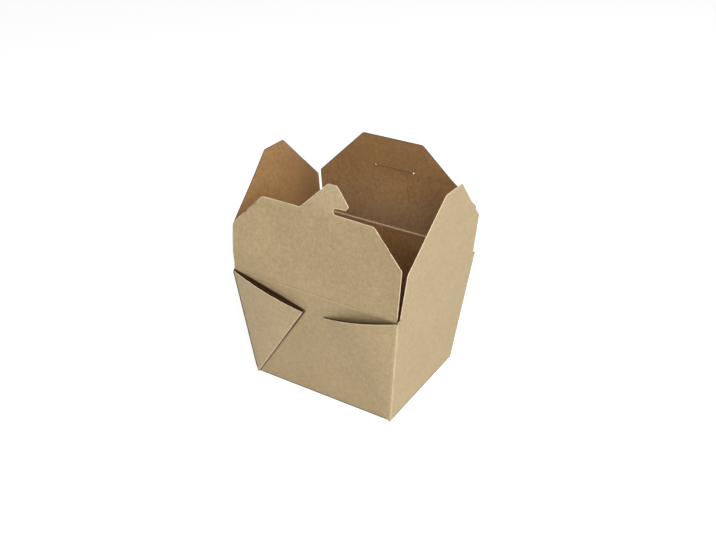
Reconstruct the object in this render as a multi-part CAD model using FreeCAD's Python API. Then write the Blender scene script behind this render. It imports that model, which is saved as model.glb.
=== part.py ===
import FreeCAD, Part
import math
import os
from FreeCAD import Placement, Rotation, Vector

# Takeaway food box folded from one sheet of kraft paperboard, standing open.
# The tray is a base and four walls that lean outwards. At each corner the board
# between two walls is folded in half along a diagonal and laid flat against the
# outside of the front or back wall, so that no cut edge reaches the food. Four
# flaps close the top in the order sides, back, front, and a hook on the front
# flap then goes through a slit in the back flap.
#
# Origin: middle of the underside of the base. +X to the right, +Y to the back,
# +Z up. Millimetres and degrees.

# Tray
base_length = 110.0
base_width = 89.0
mouth_length = 127.0
mouth_width = 110.0
wall_height = 86.8
board = 0.45
base_bend = 0.65

# Corner webs
layer_gap = 0.15
web_reach = 85.5
web_top_drop = 0.9
right_web_bow = 2.5
left_web_bow = 0.6
right_web_lift = 0.0
left_web_lift = 1.3
right_web_spread = 0.9
left_web_spread = 1.8
web_tip = 1.5
web_strips = 8

# Creases that the flaps turn on
crease_radius = 0.3
crease_clearance = 0.12
lid_step = 1.0
long_flap_clearance = 0.8
side_flap_clearance = 2.9

# Front flap with its hook
front_flap_height = 55.5
front_flap_shoulder = 32.4
front_flap_top = 82.6
front_flap_lean = -6.5
tab_foot = 12.5
tab_rise = 19.4
tab_slope = 45.0
tab_crest = 6.6
hook_reach = 22.8
hook_rise = 7.9
hook_blunt = 2.6
hook_back = 1.9
notch_end = 12.0
notch_floor = 0.8
notch_width = 4.1

# Back flap with its slit
back_flap_height = 73.1
back_flap_shoulder = 34.4
back_flap_top = 47.2
back_flap_lean = -6.8
slit_height = 49.7
slit_length = 30.4
slit_offset = 0.8
slit_width = 0.3
slit_hole_radius = 0.7

# Side flaps
side_flap_height = 70.0
side_flap_shoulder = 31.4
side_flap_top = 21.8
side_flap_taper = 1.5
right_flap_lean = 5.6
left_flap_lean = 3.4

# Rounding of the cut outline
shoulder_radius = 3.0
top_radius = 3.5
tab_radius = 2.2
hook_radius = 0.8

# Lean of the walls, and the board's thickness measured level through each wall
front_lean = math.atan2((mouth_width - base_width) / 2, wall_height)
side_lean = math.atan2((mouth_length - base_length) / 2, wall_height)
front_level = board / math.cos(front_lean)
side_level = board / math.cos(side_lean)
gap_level = layer_gap / math.cos(front_lean)
long_wall_rim = wall_height + lid_step

# How much each wall's end flares in its own plane, and the diagonal fold that
# lets the web lie flat between the two walls it joins
front_slant = wall_height / math.cos(front_lean)
side_slant = wall_height / math.cos(side_lean)
front_flare = math.atan2((mouth_length - base_length) / 2, front_slant)
side_flare = math.atan2((mouth_width - base_width) / 2, side_slant)
fold_angle = (math.pi / 2 - front_flare - side_flare) / 2

# The board turns back on itself between the front wall and the web's inner layer
# just inside the side wall: this is how far in from the corner that turn's axis is
turn_outer = front_level + gap_level / 2
turn_inner = gap_level / 2
turn_inset = side_level + gap_level + turn_outer

OUTWARDS = Vector(0, -1, 0)
SIDEWAYS = Vector(1, 0, 0)
cut_margin = 1.0


def half_length(height):
    return base_length / 2 + height * math.tan(side_lean)


def half_width(height):
    return base_width / 2 + height * math.tan(front_lean)


def level_rectangle(height, inset_x, inset_y):
    x = half_length(height) - inset_x
    y = half_width(height) - inset_y
    return [Vector(x, y, height), Vector(-x, y, height), Vector(-x, -y, height), Vector(x, -y, height)]


def prism_between(first, last):
    """Solid with flat faces between two rings of matching corners; the first is the foot, seen from above."""
    rings = [first[::-1], last]
    for index in range(len(first)):
        after = (index + 1) % len(first)
        rings.append([first[index], first[after], last[after], last[index]])
    faces = [Part.Face(Part.makePolygon(ring + ring[:1])) for ring in rings]
    solid = Part.Solid(Part.makeShell(faces))
    solid.fix(1e-7, 1e-7, 1e-7)
    return solid


def round_foot(solid, height, radius):
    """Rounds the edges of a solid's foot, which lies level at the given height."""
    foot = [edge for edge in solid.Edges if edge.BoundBox.ZMax < height + board / 10]
    return solid.makeFillet(radius, foot)


def folded_shell():
    """Base and four walls as one bent sheet, with the side walls cut down to their own rim."""
    outside = prism_between(level_rectangle(0, 0, 0), level_rectangle(long_wall_rim, 0, 0))
    inside = prism_between(
        level_rectangle(board, side_level, front_level),
        level_rectangle(long_wall_rim + cut_margin, side_level, front_level))
    shell = round_foot(outside, 0, base_bend).cut(round_foot(inside, board, base_bend - board))
    inner_face = half_length(wall_height) - side_level - gap_level
    for side in (1, -1):
        above = Part.makeBox(mouth_length, 2 * mouth_width, wall_height)
        above.translate(Vector(inner_face if side > 0 else -inner_face - mouth_length, -mouth_width, wall_height))
        shell = shell.cut(above)
    return shell


def on_front(across, up, out=0.0):
    """Point on the front wall's outer face: across from the base's right corner, up its slope, out level."""
    return Vector(
        base_length / 2 + across,
        -base_width / 2 - up * math.sin(front_lean) - out,
        up * math.cos(front_lean))


def along_corner(distance, inset=0.0, out=0.0):
    """Point beside the right front corner edge, a distance up from the base."""
    across = distance * math.sin(front_flare) - inset
    return on_front(across, distance * math.cos(front_flare), out)


def tip_distance(inset):
    """How far up the diagonal a layer starts that lies a given inset from the corner edge."""
    return inset * math.cos(front_flare) / math.sin(fold_angle)


def along_diagonal(distance, out=0.0, lift=0.0):
    """Point on the web's diagonal fold, a distance up from the base's corner, standing off by lift at the top."""
    angle = front_flare - fold_angle
    start = tip_distance(turn_inset)
    stand_off = lift * (distance - start) / (web_reach - start)
    return on_front(distance * math.sin(angle), distance * math.cos(angle), out + stand_off)


def square_on(fold, point):
    """The point slid along a fold's direction until it lies square to the fold through the origin."""
    return point - fold * point.dot(fold)


def turned_back(centre, fold, side, run):
    """Board that turns back on itself round a fold line: half a ring that bulges to one side."""
    across = square_on(fold, OUTWARDS)
    bulge = fold.cross(across)
    if bulge.dot(side) < 0:
        bulge = -bulge
    start = centre - fold * cut_margin
    tips = [across * turn_outer, across * turn_inner, across * -turn_inner, across * -turn_outer]
    ends = [start + tip for tip in tips]
    ring = Part.Wire([
        Part.Arc(ends[0], start + bulge * turn_outer, ends[3]).toShape(),
        Part.makeLine(ends[3], ends[2]),
        Part.Arc(ends[2], start + bulge * turn_inner, ends[1]).toShape(),
        Part.makeLine(ends[1], ends[0])])
    return Part.Face(ring).extrude(fold * (run + cut_margin))


def turned_corner(fold, run, out):
    """End of the side wall, which turns a quarter round the corner into the web's outer layer."""
    foot = along_corner(0)
    spared = side_level * (1 - math.sqrt(0.5))
    level = [
        along_corner(0, 0, 0), along_corner(0, 0, out - side_level),
        along_corner(0, spared, out - spared), along_corner(0, side_level, out), along_corner(0, side_level, 0)]
    corner, bend_start, bend_middle, bend_end, inner = [
        foot + square_on(fold, point - foot) - fold * cut_margin for point in level]
    section = Part.Wire([
        Part.makeLine(corner, bend_start), Part.Arc(bend_start, bend_middle, bend_end).toShape(),
        Part.makeLine(bend_end, inner), Part.makeLine(inner, corner)])
    return Part.Face(section).extrude(fold * (run + cut_margin))


def web_corner_run():
    """Length of the corner edge, from the base up to the cut top of the web."""
    return (front_slant - web_top_drop) / math.cos(front_flare)


def web_layer(inset, out, bow, lift):
    """One layer of the folded web: flat strips that fan out from its lower tip to a bowed top edge."""
    tip = along_diagonal(tip_distance(inset), out, lift)
    start = along_corner(web_corner_run(), inset, out)
    end = along_diagonal(web_reach, out, lift)
    top = []
    for station in range(web_strips + 1):
        share = station / web_strips
        top.append(start + (end - start) * share + OUTWARDS * (4 * bow * share * (1 - share)))
    foot = [tip + (point - tip) * (web_tip / web_reach) for point in top]
    thickness = OUTWARDS * front_level
    strips = []
    for left, right in zip(range(web_strips), range(1, web_strips + 1)):
        ring = [foot[left], foot[right], top[right], top[left]]
        strips.append(prism_between(ring, [point + thickness for point in ring]))
    return strips[0].fuse(strips[1:]).removeSplitter()


def corner_web(bow, lift, spread):
    """Pieces of the right front corner: both layers, the folds between them and to the two walls."""
    corner_fold = (along_corner(1) - along_corner(0)).normalize()
    diagonal_fold = (along_diagonal(1, 0, lift) - along_diagonal(0, 0, lift)).normalize()
    first = gap_level
    second = gap_level * 2 + front_level
    wall_turn = along_corner(0, turn_inset, gap_level / 2)
    layer_turn = along_diagonal(0, second - gap_level / 2, lift)
    return [
        turned_corner(corner_fold, web_corner_run(), second + front_level),
        turned_back(wall_turn, corner_fold, SIDEWAYS, web_corner_run()),
        turned_back(layer_turn, diagonal_fold, -SIDEWAYS, web_reach),
        web_layer(turn_inset, first, bow, lift),
        web_layer(side_level, second, bow + spread, lift)]


def corner_slot():
    """Room beside the right front corner edge for the front wall's turn, from the base up."""
    inner = -front_level - cut_margin / 2
    section = [
        along_corner(0, turn_inset, inner), along_corner(0, side_level, inner),
        along_corner(0, side_level, cut_margin / 2), along_corner(0, turn_inset, cut_margin / 2)]
    run = along_corner(1) - along_corner(0)
    slot = Part.Face(Part.makePolygon(section + section[:1])).extrude(run * (wall_height * 1.2))
    slot.translate(run * (board / run.z))
    return slot


def at_four_corners(right, left):
    """Shapes made for the right front corner, at every corner: one list for the right, one for the left."""
    middle = Vector(0, 0, 0)
    both_sides = right + [shape.mirror(middle, SIDEWAYS) for shape in left]
    return both_sides + [shape.mirror(middle, OUTWARDS) for shape in both_sides]


def tray():
    slot = [corner_slot()]
    shell = folded_shell().cut(at_four_corners(slot, slot))
    webs = at_four_corners(
        corner_web(right_web_bow, right_web_lift, right_web_spread),
        corner_web(left_web_bow, left_web_lift, left_web_spread))
    solid = shell.fuse(webs)
    under = Part.makeBox(2 * mouth_length, 2 * mouth_width, wall_height)
    under.translate(Vector(-mouth_length, -mouth_width, -wall_height))
    return solid.cut(under).removeSplitter()


def rounded_face(corners):
    """Flat face from corners given as (across, up, radius), each rounded by an arc of its radius."""
    edges = []
    joints = []
    count = len(corners)
    for index, (across, up, radius) in enumerate(corners):
        here = Vector(across, up, 0)
        before = Vector(*corners[index - 1][:2], 0) - here
        after = Vector(*corners[(index + 1) % count][:2], 0) - here
        half_turn = before.getAngle(after) / 2
        setback = min(radius / math.tan(half_turn), 0.45 * min(before.Length, after.Length))
        radius = setback * math.tan(half_turn)
        before.normalize()
        after.normalize()
        start = here + before * setback
        end = here + after * setback
        inwards = (before + after).normalize()
        middle = here + inwards * (radius / math.sin(half_turn) - radius)
        joints.append((start, middle, end))
    for index, (start, middle, end) in enumerate(joints):
        if (start - end).Length > 1e-6:
            edges.append(Part.Arc(start, middle, end).toShape())
        edges.append(Part.makeLine(end, joints[(index + 1) % count][0]))
    return Part.Face(Part.Wire(edges))


def flap(outline, root_half):
    """Flap of one board's thickness, upright on the X axis, with the round bead of its crease."""
    sheet = rounded_face(outline).extrude(Vector(0, 0, board))
    sheet.translate(Vector(0, 0, -board / 2))
    bead = Part.makeCylinder(crease_radius, 2 * root_half, Vector(-root_half, 0, 0), Vector(1, 0, 0))
    return sheet.fuse(bead).removeSplitter()


def seat_flap(solid, heading, reach, height, lean):
    """Stands a flap on its crease, leaning outwards by lean, on the wall that faces the heading."""
    turn = Rotation(Vector(0, 0, 1), heading + 90) * Rotation(Vector(1, 0, 0), 90 + lean)
    foot = Rotation(Vector(0, 0, 1), heading).multVec(Vector(reach, 0, 0)) + Vector(0, 0, height)
    placed = solid.copy()
    placed.Placement = Placement(foot, turn)
    return placed


def plain_outline(root_half, shoulder_half, shoulder, top_half, height):
    return [
        (-root_half, 0, 0), (root_half, 0, 0),
        (shoulder_half, shoulder, shoulder_radius), (top_half, height, top_radius),
        (-top_half, height, top_radius), (-shoulder_half, shoulder, shoulder_radius)]


def front_flap():
    half = mouth_length / 2 - long_flap_clearance
    outline = plain_outline(half, half, front_flap_shoulder, front_flap_top / 2, front_flap_height)
    edge = front_flap_height
    crest_left = tab_rise / math.tan(math.radians(tab_slope)) - tab_foot
    end_radius = notch_width / 2
    hook = [
        (notch_end, edge + notch_floor, end_radius),
        (notch_end, edge + notch_floor + notch_width, end_radius),
        (hook_reach - hook_back, edge + hook_rise - hook_blunt, hook_radius),
        (hook_reach, edge + hook_rise, hook_radius),
        (crest_left + tab_crest, edge + tab_rise, tab_radius),
        (crest_left, edge + tab_rise, tab_radius),
        (-tab_foot, edge, tab_radius)]
    return flap(outline[:4] + hook + outline[4:], half)


def back_flap():
    half = mouth_length / 2 - long_flap_clearance
    solid = flap(
        plain_outline(half, half, back_flap_shoulder, back_flap_top / 2, back_flap_height), half)
    slit = Part.makeBox(slit_length, slit_width, 2 * board)
    slit.translate(Vector(-slit_offset - slit_length / 2, slit_height - slit_width / 2, -board))
    solid = solid.cut(slit)
    for side in (-1, 1):
        centre = Vector(side * slit_length / 2 - slit_offset, slit_height, -board)
        solid = solid.cut(Part.makeCylinder(slit_hole_radius, 2 * board, centre))
    return solid


def side_flap():
    half = mouth_width / 2 - side_flap_clearance
    return flap(
        plain_outline(
            half, half - side_flap_taper, side_flap_shoulder, side_flap_top / 2, side_flap_height), half)


crease_lift = crease_radius + crease_clearance
long_crease_reach = mouth_width / 2 - board / 2
side_crease_reach = mouth_length / 2 - board / 2
long_crease_height = long_wall_rim + crease_lift
side_crease_height = wall_height + crease_lift

nodes = {
    "tray": tray(),
    "front_flap": seat_flap(front_flap(), -90, long_crease_reach, long_crease_height, front_flap_lean),
    "back_flap": seat_flap(back_flap(), 90, long_crease_reach, long_crease_height, back_flap_lean),
    "right_flap": seat_flap(side_flap(), 0, side_crease_reach, side_crease_height, right_flap_lean),
    "left_flap": seat_flap(side_flap(), 180, side_crease_reach, side_crease_height, left_flap_lean),
}

os.makedirs("parts", exist_ok=True)
for name, shape in nodes.items():
    if len(shape.Solids) == 1:
        shape = shape.Solids[0]
    shape.exportStep(f"parts/{name}.step")
    print(name, "solids", len(shape.Solids), "valid", shape.isValid(), "volume", round(shape.Volume, 1))
print("long crease", long_crease_reach, long_crease_height)
print("side crease", side_crease_reach, side_crease_height)
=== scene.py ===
# %% [markdown]
# # A kraft takeaway box, dressed for the camera
# The real box is one sheet of brown paperboard, cut, creased, folded and glued at its corners. The packed
# CAD model already has its exact form: a tray with four folded corner webs, and four flaps that hinge on
# their creases. What is left for Blender is what makes board look like board: fibres, a pale outer face and
# a browner inner one, crushed cut edges, pressed creases, and panels that are never quite flat.

# %% Load the frame
import math

import bmesh
import bpy
from mathutils import Matrix, Vector, noise
from mathutils.bvhtree import BVHTree
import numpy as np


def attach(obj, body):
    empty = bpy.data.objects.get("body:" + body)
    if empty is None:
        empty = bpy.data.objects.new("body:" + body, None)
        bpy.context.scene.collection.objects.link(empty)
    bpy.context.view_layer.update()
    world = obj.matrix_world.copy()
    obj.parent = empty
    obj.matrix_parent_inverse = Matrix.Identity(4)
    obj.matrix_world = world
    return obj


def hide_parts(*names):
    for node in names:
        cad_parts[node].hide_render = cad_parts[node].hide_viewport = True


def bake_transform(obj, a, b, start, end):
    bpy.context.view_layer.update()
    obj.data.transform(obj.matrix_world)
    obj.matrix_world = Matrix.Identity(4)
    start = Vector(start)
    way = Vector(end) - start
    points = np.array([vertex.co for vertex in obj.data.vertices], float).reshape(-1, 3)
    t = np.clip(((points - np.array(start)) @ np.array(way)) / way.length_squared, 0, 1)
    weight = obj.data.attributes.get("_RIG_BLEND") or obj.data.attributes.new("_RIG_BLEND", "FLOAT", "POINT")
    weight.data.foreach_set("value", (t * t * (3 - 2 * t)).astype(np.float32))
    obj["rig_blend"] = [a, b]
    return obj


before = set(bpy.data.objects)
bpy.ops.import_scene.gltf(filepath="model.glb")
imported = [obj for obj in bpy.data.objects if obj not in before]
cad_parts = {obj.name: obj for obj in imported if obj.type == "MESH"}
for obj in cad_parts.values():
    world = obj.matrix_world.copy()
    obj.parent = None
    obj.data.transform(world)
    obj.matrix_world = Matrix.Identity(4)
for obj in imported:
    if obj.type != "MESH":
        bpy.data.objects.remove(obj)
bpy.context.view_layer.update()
MM = 0.001
print("nodes:", sorted(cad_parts))

# %% [markdown]
# ## The sheet's own sizes
# Each dressed piece is a copy of a CAD node, so its outline needs no numbers here. A few sizes are still
# useful: they tell which wall a point lies on, how deep it lies in the board, and where a hinge line runs.
# They are in millimetres, as on the box maker's drawing.

# %% Sizes
BOARD = 0.45
BASE_LENGTH, BASE_WIDTH = 110.0, 89.0
MOUTH_LENGTH, MOUTH_WIDTH = 127.0, 110.0
SIDE_RIM, LONG_RIM = 86.8, 87.8
LONG_HINGE = Vector((0, 54.775, 88.22))
SIDE_HINGE = Vector((63.275, 0, 87.22))
FRONT_SLOPE = (MOUTH_WIDTH - BASE_WIDTH) / 2 / SIDE_RIM
SIDE_SLOPE = (MOUTH_LENGTH - BASE_LENGTH) / 2 / SIDE_RIM


def half_width(height):
    """How far the front and back walls stand from the middle at a height."""
    return BASE_WIDTH / 2 + height * FRONT_SLOPE


def half_length(height):
    """How far the side walls stand from the middle at a height."""
    return BASE_LENGTH / 2 + height * SIDE_SLOPE


def ease(low, high, value):
    """0 below low, 1 above high, and a smooth rise between them."""
    share = min(max((value - low) / (high - low), 0.0), 1.0)
    return share * share * (3 - 2 * share)


print("wall slopes:", round(FRONT_SLOPE, 4), round(SIDE_SLOPE, 4))

# %% [markdown]
# ## Kraft fibres
# Brown kraft board is a felt of wood fibres. Close up it shows cloudy patches, short flocks, fine fibres that
# lie mostly along the way the sheet ran through the mill, and a few dark specks of bark. A photograph could
# be wrapped round the box, but it would blur close up, so the pattern is mixed from noise at those four
# scales instead. It is read in the object's own space, so it stays put when a flap turns. One node group
# makes it, and each face of the board uses the group with colours of its own.

# %% The fibre group
NOISE_ROUGHNESS = 0.62
NOISE_LOW, NOISE_HIGH = 0.3, 0.7
CLOUD_WEIGHT, FLOCK_WEIGHT, LONG_FIBRE_WEIGHT, CROSS_FIBRE_WEIGHT = 0.14, 0.46, 0.22, 0.18
SPECK_FROM, SPECK_SHARE = 0.93, 0.2


def add_maths(tree, operation, *values):
    """A Math node in any node tree, fed by sockets or plain numbers."""
    node = tree.nodes.new("ShaderNodeMath")
    node.operation = operation
    for socket, value in zip(node.inputs, values):
        if isinstance(value, (int, float)):
            socket.default_value = value
        else:
            tree.links.new(value, socket)
    return node.outputs["Value"]


def add_range(tree, value, low, high, to_low=0.0, to_high=1.0):
    """Stretches a value from one range to another and clips it there."""
    node = tree.nodes.new("ShaderNodeMapRange")
    for name, number in (("From Min", low), ("From Max", high), ("To Min", to_low), ("To Max", to_high)):
        node.inputs[name].default_value = number
    tree.links.new(value, node.inputs["Value"])
    return node.outputs["Result"]


def add_mix(tree, share, first, second):
    """Colour between two others."""
    node = tree.nodes.new("ShaderNodeMix")
    node.data_type = "RGBA"
    node.clamp_factor = True
    tree.links.new(share, node.inputs["Factor"])
    tree.links.new(first, node.inputs["A"])
    tree.links.new(second, node.inputs["B"])
    return node.outputs["Result"]


def add_fibre_noise(tree, per_metre, detail, stretch=(1, 1, 1), turn=(0, 0, 0)):
    """Noise in object space, stretched along one way where it stands for fibres."""
    space = tree.nodes.new("ShaderNodeTexCoord")
    mapping = tree.nodes.new("ShaderNodeMapping")
    mapping.inputs["Scale"].default_value = stretch
    mapping.inputs["Rotation"].default_value = turn
    tree.links.new(space.outputs["Object"], mapping.inputs["Vector"])
    texture = tree.nodes.new("ShaderNodeTexNoise")
    texture.inputs["Scale"].default_value = per_metre
    texture.inputs["Detail"].default_value = detail
    texture.inputs["Roughness"].default_value = NOISE_ROUGHNESS
    tree.links.new(mapping.outputs["Vector"], texture.inputs["Vector"])
    return add_range(tree, texture.outputs["Fac"], NOISE_LOW, NOISE_HIGH)


def build_fibre_group():
    """Node group that gives board its colour, height and roughness."""
    tree = bpy.data.node_groups.new("kraft_fibres", "ShaderNodeTree")
    sockets = tree.interface
    for name in ("Dark", "Light", "Speck And Shade", "Rim And Highlight"):
        sockets.new_socket(name=name, in_out="INPUT", socket_type="NodeSocketColor")
    for name in ("Contrast", "Rim And Highlight Share"):
        sockets.new_socket(name=name, in_out="INPUT", socket_type="NodeSocketFloat")
    sockets.new_socket(name="Color", in_out="OUTPUT", socket_type="NodeSocketColor")
    for name in ("Height", "Roughness"):
        sockets.new_socket(name=name, in_out="OUTPUT", socket_type="NodeSocketFloat")
    given = tree.nodes.new("NodeGroupInput").outputs
    made = tree.nodes.new("NodeGroupOutput").inputs

    clouds = add_fibre_noise(tree, 45, 2)
    flocks = add_fibre_noise(tree, 420, 5)
    long_fibres = add_fibre_noise(tree, 1300, 3, (1, 1, 0.3), (0.3, 0.2, 0.1))
    cross_fibres = add_fibre_noise(tree, 1500, 3, (0.35, 1, 1), (0.2, 0.9, 0.7))
    specks = add_fibre_noise(tree, 1700, 1, (0.3, 1, 0.6), (0.5, 0.4, 0.9))

    pattern = add_maths(tree, "MULTIPLY", clouds, CLOUD_WEIGHT)
    for layer, weight in (
            (flocks, FLOCK_WEIGHT), (long_fibres, LONG_FIBRE_WEIGHT), (cross_fibres, CROSS_FIBRE_WEIGHT)):
        pattern = add_maths(tree, "MULTIPLY_ADD", layer, weight, pattern)
    share = add_maths(tree, "MULTIPLY_ADD", add_maths(tree, "SUBTRACT", pattern, 0.5), given["Contrast"], 0.5)
    board = add_mix(tree, share, given["Dark"], given["Light"])
    bark = add_range(tree, specks, SPECK_FROM, 1.0, 0.0, SPECK_SHARE)
    speckled = add_mix(tree, bark, board, given["Speck And Shade"])

    # Wear and painted light on the points: below 0 the board is darkened towards the speck colour as painted
    # shade, above 0 it pales towards the rim colour for crushed rims, rubbed board and painted highlights.
    wear_and_shading = tree.nodes.new("ShaderNodeAttribute")
    wear_and_shading.attribute_name = "wear_and_shading"
    ragged = add_maths(tree, "MULTIPLY", wear_and_shading.outputs["Fac"], add_range(tree, flocks, 0.0, 0.6, 0.6, 1.0))
    shaded = add_mix(tree, add_maths(tree, "MULTIPLY", ragged, -1.0), speckled, given["Speck And Shade"])
    rim_and_highlight = add_maths(tree, "MULTIPLY", ragged, given["Rim And Highlight Share"])
    tree.links.new(add_mix(tree, rim_and_highlight, shaded, given["Rim And Highlight"]), made["Color"])

    relief = add_maths(tree, "ADD", long_fibres, cross_fibres)
    tree.links.new(add_maths(tree, "MULTIPLY_ADD", flocks, 0.8, relief), made["Height"])
    tree.links.new(add_range(tree, flocks, 0.0, 1.0, 0.50, 0.62), made["Roughness"])
    return tree


fibre_group = build_fibre_group()
print("fibre group:", len(fibre_group.nodes), "nodes")

# %% [markdown]
# ## Four faces of one board
# The outer face is calendered and pale, the inner face is browner and duller, the cut edge is bright with
# torn fibre ends, and a crease is paler where its fibres were stretched, with a painted highlight on top of
# that. They differ only in colour and relief, so one function makes all four. Colours are written as a
# screen shows them and turned into the linear values that Blender works in.

# %% Board materials
def screen_colour(red, green, blue):
    """Linear colour from one written as it looks on a screen, 0 to 255."""
    linear = []
    for level in (red / 255, green / 255, blue / 255):
        linear.append(level / 12.92 if level <= 0.04045 else ((level + 0.055) / 1.055) ** 2.4)
    return (*linear, 1.0)


def build_board(name, dark, light, speck_and_shade, rim_and_highlight, rim_and_highlight_share=1.0, contrast=1.0, relief=0.5):
    """Paperboard finish in the given colours."""
    material = bpy.data.materials.new(name)
    material.use_nodes = True
    tree = material.node_tree
    shader = tree.nodes["Principled BSDF"]
    fibres = tree.nodes.new("ShaderNodeGroup")
    fibres.node_tree = fibre_group
    for socket, colour in (("Dark", dark), ("Light", light), ("Speck And Shade", speck_and_shade), ("Rim And Highlight", rim_and_highlight)):
        fibres.inputs[socket].default_value = screen_colour(*colour)
    fibres.inputs["Contrast"].default_value = contrast
    fibres.inputs["Rim And Highlight Share"].default_value = rim_and_highlight_share
    bump = tree.nodes.new("ShaderNodeBump")
    bump.inputs["Strength"].default_value = relief
    bump.inputs["Distance"].default_value = 0.05 * MM
    tree.links.new(fibres.outputs["Color"], shader.inputs["Base Color"])
    tree.links.new(fibres.outputs["Roughness"], shader.inputs["Roughness"])
    tree.links.new(fibres.outputs["Height"], bump.inputs["Height"])
    tree.links.new(bump.outputs["Normal"], shader.inputs["Normal"])
    return material


# This pale colour serves both the crushed rims and the painted highlights. Each board's third colour is its
# bark specks, and also the colour that painted shade darkens towards.
PALE_RIM_AND_HIGHLIGHT = (244, 220, 188)
outer_face = build_board("board_outer_face", (153, 131, 93), (194, 172, 131), (64, 45, 25), PALE_RIM_AND_HIGHLIGHT, 0.9)
inner_face = build_board("board_inner_face", (134, 97, 54), (191, 149, 99), (70, 46, 24), PALE_RIM_AND_HIGHLIGHT, 0.3)
cut_edge = build_board("board_cut_edge", (214, 188, 152), (240, 218, 184), (96, 72, 46), PALE_RIM_AND_HIGHLIGHT)
# The crease is pale from stretched fibres, and paler still with a painted highlight on its bead.
crease_face_and_highlight = build_board("board_crease_and_highlight", (240, 212, 176), (254, 234, 204), (190, 158, 122), PALE_RIM_AND_HIGHLIGHT)
BOARD_FACES = (outer_face, inner_face, cut_edge, crease_face_and_highlight)
OUTER, INNER, CUT = range(3)
print("board materials:", [material.name for material in BOARD_FACES])

# %% [markdown]
# ## A denser copy of a CAD sheet
# A CAD node is loose triangles, long and thin across each flat panel. Board that bows needs vertices in
# between. Subdividing those slivers would give ripples, so the copy is first merged, its flat faces are
# joined again, and the sheet is then cut by evenly spaced planes. The outline stays exact.

# %% Cutting a sheet into a grid
GRID = 2.9
WELD = 0.0005
FLAT_ANGLE = 0.3


def dense_copy(node, extra_cuts=()):
    """bmesh in millimetres with a CAD node's faces, cut along a grid of planes and the extra ones."""
    sheet = bmesh.new()
    sheet.from_mesh(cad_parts[node].data)
    bmesh.ops.scale(sheet, vec=Vector((1, 1, 1)) / MM, verts=sheet.verts)
    bmesh.ops.remove_doubles(sheet, verts=sheet.verts, dist=WELD)
    bmesh.ops.dissolve_limit(
        sheet, angle_limit=math.radians(FLAT_ANGLE), verts=sheet.verts, edges=sheet.edges)
    cuts = list(extra_cuts)
    for axis in range(3):
        places = [vert.co[axis] for vert in sheet.verts]
        low, high = min(places), max(places)
        normal = Vector([float(axis == index) for index in range(3)])
        steps = int((high - low) / GRID)
        cuts += [(normal * (low + (high - low) * step / steps), normal) for step in range(1, steps)]
    for point, normal in cuts:
        bmesh.ops.bisect_plane(
            sheet, geom=sheet.verts[:] + sheet.edges[:] + sheet.faces[:], dist=WELD,
            plane_co=point, plane_no=normal)
    sheet.normal_update()
    return sheet


# %% [markdown]
# ## Crushed rims, rubbed folds, painted light and shade
# A cutting die crushes the board a little, so the cut edges are paler. On the flaps that face the light that
# pale line is also a painted highlight, and on those in the shade the edge is painted darker as shade. A
# narrow band along the edge is needed to hold that line. The broad faces of the sheet are therefore inset by
# its width, and the narrow ones are left alone, because a face narrower than the band would be turned inside
# out. The points carry an attribute of wear and painted light: 1 is a crushed edge with a painted highlight,
# lower values are paler board, partly rubbed and partly painted highlight, and below 0 it is painted shade.

# %% Rim bands
RIM_WIDTH = 0.6
SHARP_ANGLE = 38
PANEL_WEIGHT = 80


def add_wear_and_shading(sheet, broad, wear_and_shading_of, at_cut=1.0):
    """Insets the broad faces along their edges, then stores each point's wear and painted light: the given
    function of its place, and at_cut at a cut.
    """
    sides = [[face for face in sheet.faces if face.material_index == kind and broad(face)]
             for kind in (OUTER, INNER)]
    for faces in sides:
        bmesh.ops.inset_region(
            sheet, faces=faces, thickness=RIM_WIDTH, use_even_offset=False, use_boundary=True)
    wear_and_shading = sheet.verts.layers.float.new("wear_and_shading")
    for vert in sheet.verts:
        vert[wear_and_shading] = wear_and_shading_of(vert.co)
    for face in sheet.faces:
        if face.material_index == CUT:
            for vert in face.verts:
                vert[wear_and_shading] = at_cut


def finish_sheet(sheet, name):
    """Object from a bmesh in millimetres: smooth across bends, sharp at cut edges, flat where it is flat."""
    bmesh.ops.scale(sheet, vec=Vector((MM, MM, MM)), verts=sheet.verts)
    bmesh.ops.triangulate(sheet, faces=[face for face in sheet.faces if len(face.verts) > 4])
    mesh = bpy.data.meshes.new(name)
    sheet.to_mesh(mesh)
    sheet.free()
    for material in BOARD_FACES:
        mesh.materials.append(material)
    mesh.shade_smooth()
    mesh.set_sharp_from_angle(angle=math.radians(SHARP_ANGLE))
    piece = bpy.data.objects.new(name, mesh)
    bpy.context.scene.collection.objects.link(piece)
    weighted = piece.modifiers.new("keep_panels_flat", "WEIGHTED_NORMAL")
    weighted.keep_sharp = True
    weighted.weight = PANEL_WEIGHT
    return settle(piece)


def settle(piece):
    """Turns a piece's modifiers into plain mesh and removes them."""
    bpy.context.view_layer.update()
    graph = bpy.context.evaluated_depsgraph_get()
    baked = bpy.data.meshes.new_from_object(piece.evaluated_get(graph))
    piece.modifiers.clear()
    piece.data = baked
    print(piece.name, len(baked.polygons), "faces")
    return piece


# %% [markdown]
# ## The tray
# On the real box the webs are glued to the front and back walls at their tips only. Above the glue the web
# springs away, and the wall behind it gives way inwards a little, which puts a soft shade above the web's
# open edge. The CAD has the sprung webs. The wall's dent is added here, by moving the wall's points and
# leaving the web's points alone.

# %% Where the wall gives way
RIGHT, LEFT = 1, -1
WEB_CORNER_HEIGHT = 85.9
WEB_APEX = {RIGHT: (6.5, 70.6), LEFT: (8.5, 69.6)}
DENT_DEPTH = {RIGHT: 1.5, LEFT: 0.6}
DENT_START, DENT_END = (-0.05, 0.35), (0.78, 1.0)
DENT_DROP, RIM_MARGIN = 26, 0.5


def side_of(x):
    """Which side of the box a place is on."""
    return RIGHT if x > 0 else LEFT


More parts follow.
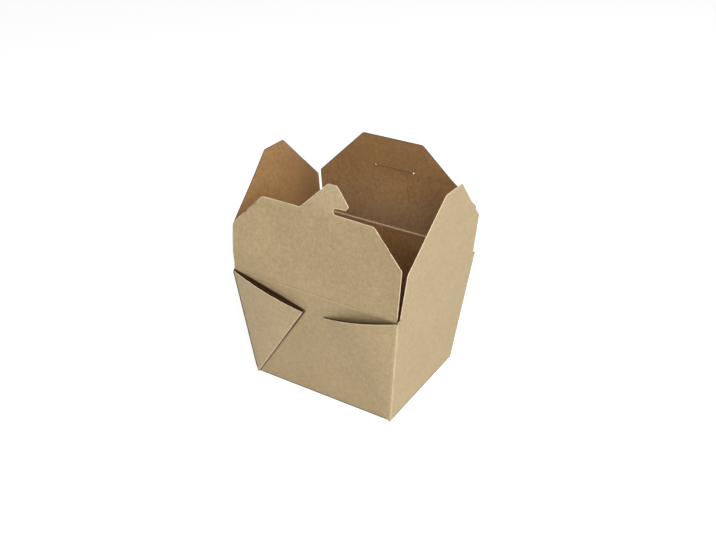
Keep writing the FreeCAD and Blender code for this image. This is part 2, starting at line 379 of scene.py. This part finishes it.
def wall_dent(x, z):
    """How far the front or back wall gives way inwards at a place, in millimetres."""
    side = side_of(x)
    apex_x, apex_z = WEB_APEX[side]
    along = (abs(x) - apex_x) / (half_length(WEB_CORNER_HEIGHT) - apex_x)
    edge = apex_z + (WEB_CORNER_HEIGHT - apex_z) * along
    span = ease(*DENT_START, along) * (1 - ease(*DENT_END, along))
    above = 1 - ease(0.0, max(LONG_RIM - RIM_MARGIN - edge, 1.0), z - edge)
    below = ease(-DENT_DROP, 0, z - edge)
    return DENT_DEPTH[side] * span * above * below


print("wall dent behind the right web:", round(wall_dent(32, 77), 2), "mm")

# %% [markdown]
# ## Wear, light and shade on the tray
# Some marks lie in known places. The webs' folds are rubbed pale and carry a painted highlight, the right
# front corner has a painted highlight, a pressed line runs under the front and back rims with a painted
# highlight on its lip, the foot and the left corners are darkened as painted shade, and painted shade lies on
# the wall just past a web's edge and its fold. An image could be painted for them, but each mark is a band
# beside a straight line. So its strength is worked out from a point's distance to that line, and the sheet is
# cut along the band's borders first, so that there are points to hold it.

# %% Where the tray is worn and where light and shade are painted
WEB_FOOT, WEB_TOP = Vector((BASE_LENGTH / 2, 0, 0)), Vector((7.8, 0, 70.8))
WEB_CORNER = Vector((half_length(WEB_CORNER_HEIGHT), 0, WEB_CORNER_HEIGHT))
WEB_WEAR = {RIGHT: 0.0, LEFT: 0.1}
# The web's fold: rubbed board with a painted highlight.
WEB_FOLD_WEAR_AND_HIGHLIGHT, FOLD_CORE, FOLD_BAND = 0.55, 0.3, 0.7
# Painted shade past a web's top edge and beside its fold.
TOP_SHADE, FOLD_SHADE = {RIGHT: 0.42, LEFT: 1.5}, {RIGHT: 0.1, LEFT: 0.9}
SHADE_CORE, SHADE_BAND, SHADE_FADE = 0.2, {RIGHT: 1.5, LEFT: 1.7}, 1.5
# A painted highlight on the right front corner, painted shade on the left corners.
CORNER_HIGHLIGHT, CORNER_SHADE, CORNER_CORE, CORNER_BAND = 0.35, 0.5, 0.4, 2.0
# A painted highlight on the lip of the pressed line under the front and back rims.
PRESS_LINE, PRESS_HIGHLIGHT, PRESS_CORE, PRESS_BAND, PRESS_CUT = 86.3, 0.2, 0.1, 0.6, 0.7
# Painted shade along the foot.
FOOT_SHADE, FOOT_DARK, FOOT_BAND, FOOT_CORNER_FADE = 0.9, 0.9, 1.6, (2, 5)
fold_run = (WEB_TOP - WEB_FOOT).normalized()
fold_side = Vector((fold_run.z, 0, -fold_run.x))
edge_run = (WEB_CORNER - WEB_TOP).normalized()
edge_side = Vector((-edge_run.z, 0, edge_run.x))


def wall_shade(side, x, z):
    """How deep in the shade of a web a point of the wall lies: 1 in the gap above its edge, 0 in the open."""
    place = Vector((x, 0, z))
    above_edge = (place - WEB_TOP).dot(edge_side)
    past_fold = (WEB_FOOT - place).dot(fold_side)
    top = TOP_SHADE[side] * (1 - ease(SHADE_CORE, SHADE_BAND[side], above_edge))
    fold = FOLD_SHADE[side] * (1 - ease(FOLD_BAND, SHADE_FADE, past_fold))
    return max(top * (1 - ease(0.0, SHADE_FADE, past_fold)), fold * (1 - ease(0.0, SHADE_FADE, above_edge)))


def tray_wear_and_shading(point):
    """Wear and painted light of a point of the tray: rubbed and painted pale on the web folds, painted
    highlights on the right front corner and the pressed line, painted shade along its foot, its left corners
    and beside the webs.
    """
    x, y, z = abs(point.x), abs(point.y), point.z
    side = side_of(point.x)
    beyond_wall = y - half_width(z)
    from_fold = abs((Vector((x, 0, z)) - WEB_FOOT).dot(fold_side))
    from_corner = math.hypot(x - half_length(z), beyond_wall)
    # Painted highlight on the right front corner, painted shade on the left ones.
    at_corner = -CORNER_SHADE if point.x < 0 else CORNER_HIGHLIGHT if point.y < 0 else 0.0
    wear_and_shading = at_corner * (1 - ease(CORNER_CORE, CORNER_BAND, from_corner))
    if beyond_wall > BOARD:
        # The fold: rubbed board and a painted highlight.
        on_fold = WEB_FOLD_WEAR_AND_HIGHLIGHT * (1 - ease(FOLD_CORE, FOLD_BAND, from_fold))
        wear_and_shading = max(wear_and_shading, on_fold, WEB_WEAR[side])
    elif beyond_wall > -BOARD / 2 and x < half_length(z) - BOARD:
        # Painted highlight on the pressed line's lip.
        wear_and_shading = max(wear_and_shading, PRESS_HIGHLIGHT * (1 - ease(PRESS_CORE, PRESS_BAND, abs(z - PRESS_LINE))))
        # Painted shade past the web's edge and beside its fold.
        wear_and_shading -= wall_shade(side, x, z)
    # Painted shade along the foot.
    return wear_and_shading - FOOT_SHADE * (1 - ease(FOOT_DARK, FOOT_BAND, z)) * ease(*FOOT_CORNER_FADE, from_corner)


def tray_cuts():
    """Planes that bound the narrow bands of wear and painted light: along the foot, the press line, the
    corners and the webs.
    """
    heights = (FOOT_DARK, FOOT_BAND, PRESS_LINE - PRESS_CUT, PRESS_LINE, PRESS_LINE + PRESS_CUT)
    cuts = [(Vector((0, 0, height)), Vector((0, 0, 1))) for height in heights]
    for side in (RIGHT, LEFT):
        mirror = Vector((side, 1, 1))
        cuts.append((Vector((side * (half_length(0) - CORNER_BAND), 0, 0)), Vector((side, 0, -SIDE_SLOPE))))
        cuts.append((Vector((0, side * (half_width(0) - CORNER_BAND), 0)), Vector((0, side, -FRONT_SLOPE))))
        for distance in (FOLD_BAND, -FOLD_BAND, -SHADE_FADE):
            cuts.append(((WEB_FOOT + fold_side * distance) * mirror, fold_side * mirror))
        for distance in (SHADE_CORE, SHADE_BAND[side]):
            cuts.append(((WEB_TOP + edge_side * distance) * mirror, edge_side * mirror))
    return cuts


print("planes that bound the worn bands:", len(tray_cuts()))

# %% [markdown]
# ## Which face of the board is it?
# The tray's model is one solid and doesn't say which of its faces is the pale outside of the board. On a flat
# wall the place tells: what faces the food is the inner face. Inside a web the sheet lies in three layers, so
# a short ray is sent out from each face there. If it meets another layer of the web, the face is one that
# the fold hides, and shows the inner board. The webs' open top edges are cut board, except where another
# layer stands in front of one: that edge gets the inner face as painted shade in the gap.

# %% Sorting the tray's faces
TOUCH = BOARD / 8
FACING = 0.6
FOOT_CORNER_LENGTH, FOOT_CORNER_WIDTH, FOOT_CORNER_HEIGHT = 2.5, 0.2, 2.5
WEB_EDGES_ABOVE = 60
PAST_EDGE, UNDER_EDGE, EDGE_REACH = 0.35, 0.6, 2.6
OFF_FACE, LAYER_REACH = 0.02, 2.5
BASE_BELOW, DENTS_ABOVE, WALL_DEPTH = 2.0, 3.0, 1.15


def at_foot_corner(place):
    """Whether a place is where a web's layers run out at the foot, too small to show its inner face."""
    at_end = abs(place.x) > BASE_LENGTH / 2 - FOOT_CORNER_LENGTH
    at_side = abs(place.y) > BASE_WIDTH / 2 - FOOT_CORNER_WIDTH
    return at_end and at_side and place.z < FOOT_CORNER_HEIGHT


def in_web(place):
    """Whether a place lies outside the front and back walls, where only the webs are."""
    return abs(place.y) - half_width(place.z) > TOUCH


def tray_face_kind(face, layers):
    """Whether a face of the tray is an outer face, an inner face or a cut edge."""
    centre = face.calc_center_median()
    if at_foot_corner(centre):
        return OUTER
    if in_web(centre):
        if face.normal.z > FACING and centre.z > WEB_EDGES_ABOVE:
            outwards = Vector((0, math.copysign(1, centre.y), 0))
            start = centre + outwards * PAST_EDGE - Vector((0, 0, UNDER_EDGE))
            behind = layers.ray_cast(start, outwards, EDGE_REACH)[0]
            # A top edge with another layer in front of it gets the browner inner face, as painted shade in
            # the gap between the layers.
            return CUT if behind is None else INNER
        met = layers.ray_cast(centre + face.normal * OFF_FACE, face.normal, LAYER_REACH)[0]
        return INNER if met is not None and in_web(met) else OUTER
    ahead = centre + face.normal * BOARD / 2
    in_walls = abs(ahead.x) < half_length(ahead.z) - BOARD and abs(ahead.y) < half_width(ahead.z) - BOARD
    return INNER if in_walls and ahead.z > BOARD else OUTER


def is_panel(face):
    """Whether a face of the tray lies on a broad side of the sheet, not on a rim or inside a folded web."""
    centre = face.calc_center_median()
    if at_foot_corner(centre):
        return False
    level = abs(face.normal.z) > FACING
    if in_web(centre):
        return not level and face.material_index != INNER
    return not level or centre.z < BASE_BELOW


# %% Dressing the tray
def build_tray():
    sheet = dense_copy("tray", tray_cuts())
    layers = BVHTree.FromBMesh(sheet)
    for face in sheet.faces:
        face.material_index = tray_face_kind(face, layers)
    add_wear_and_shading(sheet, is_panel, tray_wear_and_shading)
    wear_and_shading = sheet.verts.layers.float["wear_and_shading"]
    # The web's inner faces between its layers are darkened further, as painted shade deep in the folds.
    for face in sheet.faces:
        if face.material_index == INNER and in_web(face.calc_center_median()):
            for vert in face.verts:
                vert[wear_and_shading] = min(vert[wear_and_shading], 0.0) - 1.0
    for vert in sheet.verts:
        vert.co.z = max(vert.co.z, 0.0)
        x, y, z = vert.co
        depth = half_width(z) - abs(y)
        if z > DENTS_ABOVE and -TOUCH < depth < BOARD * WALL_DEPTH:
            vert.co.y -= math.copysign(wall_dent(x, z), y)
    tray = finish_sheet(sheet, "box_tray")
    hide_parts("tray")
    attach(tray, "tray")


build_tray()

# %% [markdown]
# ## The flaps
# A flap is flat when it leaves the die, and curls slightly as it is handled: most at its free edge and its
# corners, not at all at its hinge. Slow noise gives the curl. A cloth simulation would give folds that
# board doesn't make. Two corners that the photograph shows bent get a bend of their own, and so does the
# hook. Where the long flaps lie on each other in the closed box there is only board between them, so there
# the curl fades out and the back flap, which goes under, is tucked in a little.

# %% How each flap stands
LONG_HALF, SIDE_HALF = 62.7, 52.1


class Flap:
    """A flap's hinge line and the directions of its sheet, in millimetres in the box's frame."""

    def __init__(self, name, outward, hinge, lean, half):
        tilt = math.radians(lean)
        self.name = name
        self.outward = Vector(outward)
        self.hinge = hinge
        self.half = half
        self.up = Vector((0, 0, math.cos(tilt))) + self.outward * math.sin(tilt)
        self.normal = self.outward * math.cos(tilt) - Vector((0, 0, math.sin(tilt)))
        self.across = self.up.cross(self.normal)

    def place(self, point):
        """Across, up and depth of a point, measured from the middle of the hinge line."""
        local = point - self.hinge
        return local.dot(self.across), local.dot(self.up), local.dot(self.normal)


FLAPS = [
    Flap("front_flap", (0, -1, 0), LONG_HINGE * Vector((1, -1, 1)), lean=-6.5, half=LONG_HALF),
    Flap("back_flap", (0, 1, 0), LONG_HINGE, lean=-6.8, half=LONG_HALF),
    Flap("right_flap", (1, 0, 0), SIDE_HINGE, lean=5.6, half=SIDE_HALF),
    Flap("left_flap", (-1, 0, 0), SIDE_HINGE * Vector((-1, 1, 1)), lean=3.4, half=SIDE_HALF)]
print("flaps:", [flap.name for flap in FLAPS])

# %% How a flap curls
CURL, CURL_RISE = 0.7, (2, 45)
WAVE_ACROSS, WAVE_UP, SEED_STEP = 42, 38, 7.3
EDGE_BENDS = {
    "front_flap": {"middle_up": 20, "reach": 34, "half_run": 44, "bend": 2.2},
    "back_flap": {"middle_up": 36, "reach": 26, "half_run": 26, "bend": 1.8}}
BEND_CORE, BEND_RISE = 0.5, 14
OVERLAP = {"front_flap": (26, 38), "back_flap": (42, 54)}
OVERLAP_CALM, TUCK = 0.85, 0.4
HOOK_ROOT, HOOK_TIP, HOOK_BEND = 50.0, 78.0, 0.3


def flap_curl(flap, across, up):
    """How far a point of the flap stands out of its flat sheet, outwards positive, in millimetres."""
    seed = SEED_STEP * FLAPS.index(flap)
    slow = noise.noise(Vector((across / WAVE_ACROSS + seed, up / WAVE_UP, seed)))
    curl = CURL * slow * ease(*CURL_RISE, up)
    if flap.name in OVERLAP:
        curl *= 1 - OVERLAP_CALM * ease(*OVERLAP[flap.name], up)
    if flap.name in EDGE_BENDS:
        edge = EDGE_BENDS[flap.name]
        near_edge = 1 - ease(0, edge["reach"], abs(across + flap.half))
        near_middle = 1 - ease(edge["half_run"] * BEND_CORE, edge["half_run"], abs(up - edge["middle_up"]))
        curl += edge["bend"] * near_edge * near_middle * ease(0, BEND_RISE, up)
    if flap.name == "front_flap":
        curl -= HOOK_BEND * ease(HOOK_ROOT, HOOK_TIP, up)
    if flap.name == "back_flap":
        tucked = ease(*OVERLAP["back_flap"], up)
        curl = curl * (1 - tucked) - TUCK * tucked
    return curl


for flap in FLAPS:
    print(flap.name, "stands out", round(flap_curl(flap, -flap.half, 20), 2), "mm at its far edge")

# %% [markdown]
# ## The slit
# The hook locks in a slit of the back flap. A die cuts a slit without taking board away, so its lips touch,
# but a solid needs some room between two faces, and the CAD's slit is 0.3 mm wide. The lips' points are
# drawn together here. The hole at the slit's left end stays open, as in the photograph.

# %% Closing the slit
SLIT_UP, OPEN_HOLE, CLOSED_HOLE, SLIT_HOLE = 49.7, -16.0, 14.4, 0.72
LIP_PULL, HOLE_PULL = 0.8, 0.45


def by_slit(flap, point):
    """Whether a point lies at the back flap's slit or its end holes."""
    across, up, _ = flap.place(point)
    near = abs(up - SLIT_UP) < SLIT_HOLE and OPEN_HOLE - SLIT_HOLE < across < CLOSED_HOLE + SLIT_HOLE
    return near and flap.name == "back_flap"


def close_slit(flap, vert):
    """Draws the slit's lips together, as a real one is cut without taking board away. One hole stays open."""
    across, up, _ = flap.place(vert.co)
    if by_slit(flap, vert.co) and across > OPEN_HOLE + SLIT_HOLE:
        share = LIP_PULL if across < CLOSED_HOLE - SLIT_HOLE else HOLE_PULL
        vert.co -= flap.up * (up - SLIT_UP) * share


print("slit:", round(CLOSED_HOLE - OPEN_HOLE, 1), "mm between the middles of its end holes")

# %% [markdown]
# ## Light and shade on the flaps
# The hook gets a painted highlight, and the back flap is painted lighter towards its crease and a little
# darker above. Painted shade lies on the slit's lips and on the left flap towards its back, and the front
# flap is a little darker towards its right. All of it goes into the same values of wear and painted light as
# on the tray. The front flap's left side also reaches a little further out than the CAD's, as it does in the
# photograph.

# %% Where a flap is worn, has painted light and shade, and is stretched
# Cut edges: crushed board, with a painted highlight on the flaps that face the light and painted shade on
# those in the shade.
EDGE_WEAR_AND_SHADING = {"front_flap": 1.0, "right_flap": 1.0, "back_flap": -1.0, "left_flap": -1.0}
# A painted highlight on the hook.
HOOK_HIGHLIGHT, HOOK_HIGHLIGHT_FULL = 0.2, 68
# The front flap is darker towards its right.
FRONT_DARKENING, FRONT_FADE = 0.08, (0, 60)
# The back flap is painted lighter towards its crease.
CREASE_HIGHLIGHT, CREASE_FADE = 0.7, (0, 60)
# Painted shade on the slit's lips and over the back flap.
SLIT_SHADE, BACK_SHADE = 0.5, 0.12
# Painted shade on the left flap towards its back.
LEFT_SHADE, LEFT_FADE = 0.28, (0, 45)
STRETCH_ROOT, STRETCH_RISE = 0.2, 0.5
STRETCH_UP, STRETCH_ACROSS = (10, 34), (30, 62)


def flap_light_and_shade(flap, point):
    """Painted light of a point of a flap: a highlight on the hook, lighter on the back flap towards its
    crease, painted shade at its slit, over the back flap and on the left flap, and darker on the front flap's
    right.
    """
    across, up, _ = flap.place(point)
    if flap.name == "front_flap":
        return HOOK_HIGHLIGHT * ease(HOOK_ROOT, HOOK_HIGHLIGHT_FULL, up) - FRONT_DARKENING * ease(*FRONT_FADE, across)
    if flap.name == "back_flap":
        return -SLIT_SHADE if by_slit(flap, point) else CREASE_HIGHLIGHT * (1 - ease(*CREASE_FADE, up)) - BACK_SHADE
    if flap.name == "left_flap":
        return -LEFT_SHADE * ease(*LEFT_FADE, -across)
    return 0.0


def side_stretch(flap, across, up):
    """How much further out than in the CAD a point of the front flap's left side lies, in millimetres."""
    if flap.name != "front_flap":
        return 0.0
    return (STRETCH_ROOT + STRETCH_RISE * ease(*STRETCH_UP, up)) * ease(*STRETCH_ACROSS, -across)


# %% Dressing the flaps
def build_flap(flap):
    sheet = dense_copy(flap.name)
    for face in sheet.faces:
        facing = face.normal.dot(flap.normal)
        centre = face.calc_center_median()
        if abs(facing) > FACING or flap.place(centre)[1] < BOARD:
            face.material_index = OUTER if facing > 0 else INNER
        else:
            # The slit's cut faces get the browner inner face, as painted shade in the slit.
            face.material_index = INNER if by_slit(flap, centre) else CUT
    add_wear_and_shading(
        sheet, lambda face: abs(face.normal.dot(flap.normal)) > FACING,
        lambda point: flap_light_and_shade(flap, point), EDGE_WEAR_AND_SHADING[flap.name])
    for vert in sheet.verts:
        close_slit(flap, vert)
        across, up, depth = flap.place(vert.co)
        vert.co -= flap.across * side_stretch(flap, across, up)
        past_face = depth - math.copysign(min(abs(depth), BOARD / 2), depth)
        vert.co += flap.normal * (flap_curl(flap, across, up) - past_face)
    piece = finish_sheet(sheet, "box_" + flap.name)
    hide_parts(flap.name)
    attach(piece, flap.name)


for flap in FLAPS:
    build_flap(flap)

# %% [markdown]
# ## Pressed creases
# The board is one sheet across each hinge. A creasing rule has pressed a groove into its outer face and
# raised a small bead on the inner one, and the flap bends there. The CAD leaves a running gap at that line,
# so a narrow strip bridges it: nearly flush outside, proud inside. Its section is the same all along, which
# is a rule that Geometry Nodes can follow: a grid whose one side runs along the hinge, while its other side
# wraps round a section with blunt faces. A slow ripple keeps it from looking machined.

# %% The crease tree
BLUNTNESS = 0.35
RIPPLES, RIPPLE_SIZE, RIPPLE_BASE = 14, 0.14, 0.93


def build_crease_tree():
    """Node tree that makes the strip of a crease between two points."""
    tree = bpy.data.node_groups.new("pressed_crease", "GeometryNodeTree")
    tree.interface.new_socket(name="Geometry", in_out="OUTPUT", socket_type="NodeSocketGeometry")
    for kind, names in (
            ("NodeSocketVector", ("Start", "End", "Outward")),
            ("NodeSocketFloat", ("Rise", "Outer Depth", "Inner Depth", "Wall Slope", "Flap Slope")),
            ("NodeSocketInt", ("Stations", "Section Points")),
            ("NodeSocketMaterial", ("Outer Material", "Inner Material"))):
        for name in names:
            tree.interface.new_socket(name=name, in_out="INPUT", socket_type=kind)
    given = tree.nodes.new("NodeGroupInput").outputs
    made = tree.nodes.new("NodeGroupOutput").inputs
    link = tree.links.new

    def vector_maths(operation, *values):
        node = tree.nodes.new("ShaderNodeVectorMath")
        node.operation = operation
        for socket, value in zip(node.inputs, values):
            link(value, socket)
        return node

    def scaled(vector, factor):
        node = vector_maths("SCALE", vector)
        link(factor, node.inputs["Scale"])
        return node.outputs["Vector"]

    grid = tree.nodes.new("GeometryNodeMeshGrid")
    grid.inputs["Size X"].default_value = 1
    grid.inputs["Size Y"].default_value = 1
    link(given["Stations"], grid.inputs["Vertices X"])
    link(given["Section Points"], grid.inputs["Vertices Y"])
    split = tree.nodes.new("ShaderNodeSeparateXYZ")
    link(tree.nodes.new("GeometryNodeInputPosition").outputs["Position"], split.inputs["Vector"])
    along = add_maths(tree, "ADD", split.outputs["X"], 0.5)
    turn = add_maths(tree, "MULTIPLY", split.outputs["Y"], 2 * math.pi)
    cosine = add_maths(tree, "COSINE", turn)
    blunted = add_maths(tree, "POWER", add_maths(tree, "ABSOLUTE", cosine), BLUNTNESS)
    outwards = add_maths(tree, "MULTIPLY", blunted, add_maths(tree, "SIGN", cosine))
    upwards = add_maths(tree, "SINE", turn)

    def by_sign(value, below, above):
        node = tree.nodes.new("GeometryNodeSwitch")
        node.input_type = "FLOAT"
        link(add_maths(tree, "GREATER_THAN", value, 0.0), node.inputs["Switch"])
        link(below, node.inputs["False"])
        link(above, node.inputs["True"])
        return node.outputs["Output"]

    height = add_maths(tree, "MULTIPLY", upwards, given["Rise"])
    lean = add_maths(tree, "MULTIPLY", height, by_sign(height, given["Wall Slope"], given["Flap Slope"]))
    depth = by_sign(outwards, given["Inner Depth"], given["Outer Depth"])
    ripple = tree.nodes.new("ShaderNodeTexNoise")
    ripple.noise_dimensions = "1D"
    ripple.inputs["Scale"].default_value = RIPPLES
    link(along, ripple.inputs["W"])
    uneven = add_maths(tree, "MULTIPLY_ADD", ripple.outputs["Fac"], RIPPLE_SIZE, RIPPLE_BASE)
    proud = add_maths(tree, "MULTIPLY", add_maths(tree, "MULTIPLY", outwards, depth), uneven)
    stand = add_maths(tree, "ADD", proud, lean)

    run = vector_maths("SUBTRACT", given["End"], given["Start"]).outputs["Vector"]
    on_line = vector_maths("ADD", given["Start"], scaled(run, along)).outputs["Vector"]
    rise = tree.nodes.new("ShaderNodeCombineXYZ")
    link(height, rise.inputs["Z"])
    section = vector_maths("ADD", scaled(given["Outward"], stand), rise.outputs["Vector"]).outputs["Vector"]
    place = tree.nodes.new("GeometryNodeSetPosition")
    link(grid.outputs["Mesh"], place.inputs["Geometry"])
    link(vector_maths("ADD", on_line, section).outputs["Vector"], place.inputs["Position"])
    weld = tree.nodes.new("GeometryNodeMergeByDistance")
    weld.inputs["Distance"].default_value = WELD * MM
    link(place.outputs["Geometry"], weld.inputs["Geometry"])

    realized = tree.nodes.new("GeometryNodeRealizeInstances")
    link(weld.outputs["Geometry"], realized.inputs["Geometry"])
    outer = tree.nodes.new("GeometryNodeSetMaterial")
    link(realized.outputs["Geometry"], outer.inputs["Geometry"])
    link(given["Outer Material"], outer.inputs["Material"])
    normal = tree.nodes.new("GeometryNodeInputNormal").outputs["Normal"]
    facing = vector_maths("DOT_PRODUCT", normal, given["Outward"]).outputs["Value"]
    inner = tree.nodes.new("GeometryNodeSetMaterial")
    link(outer.outputs["Geometry"], inner.inputs["Geometry"])
    link(add_maths(tree, "LESS_THAN", facing, 0.0), inner.inputs["Selection"])
    link(given["Inner Material"], inner.inputs["Material"])
    link(inner.outputs["Geometry"], made["Geometry"])
    return tree


crease_tree = build_crease_tree()
print("crease tree:", len(crease_tree.nodes), "nodes")

# %% [markdown]
# ## Bridging the four hinges
# A strip must bend as its flap turns, or it would tear away from one side. Its lower half follows the tray,
# its upper half the flap, and the points between them turn in part, which is how the real crease rolls over.

# %% Creases on the hinge lines
CREASE_RISE = {"front_flap": 1.0, "back_flap": 0.65, "right_flap": 0.9, "left_flap": 0.9}
INNER_DEPTH = {"front_flap": 0.36, "back_flap": 0.52, "right_flap": 0.36, "left_flap": 0.36}
WALL_SLOPE = {
    "front_flap": FRONT_SLOPE, "back_flap": FRONT_SLOPE, "right_flap": SIDE_SLOPE, "left_flap": SIDE_SLOPE}
OUTER_DEPTH, CREASE_ROLL = 0.26, 0.3
CREASE_END_GAP, FRONT_EXTRA = 0.4, 0.6
STATIONS, SECTION_POINTS = 49, 25


def build_crease(flap):
    piece = bpy.data.objects.new("crease_" + flap.name, bpy.data.meshes.new("crease_" + flap.name))
    bpy.context.scene.collection.objects.link(piece)
    modifier = piece.modifiers.new("crease", "NODES")
    modifier.node_group = crease_tree
    reach = flap.across * (flap.half - CREASE_END_GAP)
    start = flap.hinge - reach - flap.across * (FRONT_EXTRA if flap.name == "front_flap" else 0.0)
    settings = {
        "Start": start * MM, "End": (flap.hinge + reach) * MM, "Outward": flap.outward,
        "Rise": CREASE_RISE[flap.name] * MM, "Outer Depth": OUTER_DEPTH * MM,
        "Inner Depth": INNER_DEPTH[flap.name] * MM, "Wall Slope": WALL_SLOPE[flap.name],
        "Flap Slope": flap.up.dot(flap.outward) / flap.up.z,
        "Stations": STATIONS, "Section Points": SECTION_POINTS,
        "Outer Material": outer_face, "Inner Material": crease_face_and_highlight}
    for item in crease_tree.interface.items_tree:
        if item.in_out == "INPUT":
            modifier[item.identifier] = settings[item.name]
    settle(piece)
    piece.data.shade_smooth()
    roll = Vector((0, 0, CREASE_ROLL))
    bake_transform(piece, "tray", flap.name, start=(flap.hinge - roll) * MM, end=(flap.hinge + roll) * MM)


for flap in FLAPS:
    build_crease(flap)

# %% [markdown]
# ## A white sweep
# The box stands on white card that fills the view. Its colour alone would render a pale grey, so where the
# camera or a reflection sees it, a little light of its own lifts it to white. The lift is small enough that
# the box still leaves a faint shadow, and other surfaces get none of it.

# %% Floor
def add_seen_directly(tree):
    """1 for rays from the camera, a mirror or a glass, which see the backdrop itself, and 0 for the rest."""
    path = tree.nodes.new("ShaderNodeLightPath").outputs
    seen = add_maths(tree, "MAXIMUM", path["Is Camera Ray"], path["Is Glossy Ray"])
    return add_maths(tree, "MAXIMUM", seen, path["Is Transmission Ray"])


FLOOR_RADIUS = 3.0
FLOOR_DROP = 0.0001
FLOOR_LIFT = 0.66


def build_floor():
    disc = bmesh.new()
    bmesh.ops.create_circle(disc, cap_ends=True, segments=96, radius=FLOOR_RADIUS)
    bmesh.ops.translate(disc, vec=(0, 0, -FLOOR_DROP), verts=disc.verts)
    mesh = bpy.data.meshes.new("floor")
    disc.to_mesh(mesh)
    disc.free()
    material = bpy.data.materials.new("white_card")
    material.use_nodes = True
    tree = material.node_tree
    shader = tree.nodes["Principled BSDF"]
    shader.inputs["Base Color"].default_value = (0.8, 0.8, 0.8, 1)
    shader.inputs["Roughness"].default_value = 1.0
    shader.inputs["Specular IOR Level"].default_value = 0.0
    shader.inputs["Emission Color"].default_value = (1, 1, 1, 1)
    lift = add_maths(tree, "MULTIPLY", add_seen_directly(tree), FLOOR_LIFT)
    tree.links.new(lift, shader.inputs["Emission Strength"])
    mesh.materials.append(material)
    floor = bpy.data.objects.new("floor", mesh)
    bpy.context.scene.collection.objects.link(floor)


build_floor()

# %% [markdown]
# ## Soft studio light
# The photograph has no hard shadow. The outer walls, and the inner faces that look at the camera, are lit
# about alike, so most of the light comes from a large soft box in front, the right side gets a second one,
# and a low, even sky fills the rest.

# %% World and lamps
SKY = 0.29
AIM_HEIGHT = 0.09


def build_world():
    world = bpy.data.worlds.new("studio")
    bpy.context.scene.world = world
    world.use_nodes = True
    tree = world.node_tree
    background = tree.nodes["Background"]
    background.inputs["Color"].default_value = (1, 1, 1, 1)
    strength = add_range(tree, add_seen_directly(tree), 0.0, 1.0, SKY, 1.0)
    tree.links.new(strength, background.inputs["Strength"])


def build_soft_box(name, azimuth, elevation, distance, width, power):
    """Round area lamp aimed at the box. Azimuth 0 is in front of it and 90 on its right."""
    turn, rise = math.radians(azimuth), math.radians(elevation)
    towards = Vector((math.sin(turn) * math.cos(rise), -math.cos(turn) * math.cos(rise), math.sin(rise)))
    data = bpy.data.lights.new(name, "AREA")
    data.shape = "DISK"
    data.size = width
    data.energy = power
    lamp = bpy.data.objects.new(name, data)
    lamp.location = towards * distance + Vector((0, 0, AIM_HEIGHT))
    lamp.rotation_euler = towards.to_track_quat("Z", "Y").to_euler()
    bpy.context.scene.collection.objects.link(lamp)


build_world()
build_soft_box("front_soft_box", azimuth=34, elevation=27, distance=1.5, width=0.9, power=12.9)
build_soft_box("right_soft_box", azimuth=86, elevation=24, distance=1.5, width=1.2, power=11.6)
print("sky", SKY, "lamps", [light.name for light in bpy.data.lights])

# %% [markdown]
# ## The camera
# Seven corners of the tray and sixteen of the flaps were measured in the photograph, and a camera was fitted
# to them. Its place follows from the direction it looks from, its distance, and the point at which it aims.

# %% Camera
AZIMUTH, ELEVATION, ROLL = 31.1, 29.21, 0.70
DISTANCE = 659.58
AIM_RIGHT, AIM_UP = 1.84, 68.83
LENS = 45.04


def build_camera():
    azimuth, elevation, roll = (math.radians(angle) for angle in (AZIMUTH, ELEVATION, ROLL))
    back = Vector((math.sin(azimuth) * math.cos(elevation),
                   -math.cos(azimuth) * math.cos(elevation), math.sin(elevation)))
    level = Vector((math.cos(azimuth), math.sin(azimuth), 0))
    upright = back.cross(level)
    right = level * math.cos(roll) + upright * math.sin(roll)
    up = upright * math.cos(roll) - level * math.sin(roll)
    place = (right * AIM_RIGHT + up * AIM_UP + back * DISTANCE) * MM
    data = bpy.data.cameras.new("camera")
    data.lens = LENS
    data.sensor_width = 36
    data.sensor_fit = "HORIZONTAL"
    data.clip_start = 0.01
    camera = bpy.data.objects.new("camera", data)
    camera.matrix_world = Matrix.Translation(place) @ Matrix((right, up, back)).transposed().to_4x4()
    bpy.context.scene.collection.objects.link(camera)
    bpy.context.scene.camera = camera
    print("camera at", [round(value, 4) for value in place])


build_camera()
bpy.context.scene.view_settings.view_transform = "Standard"
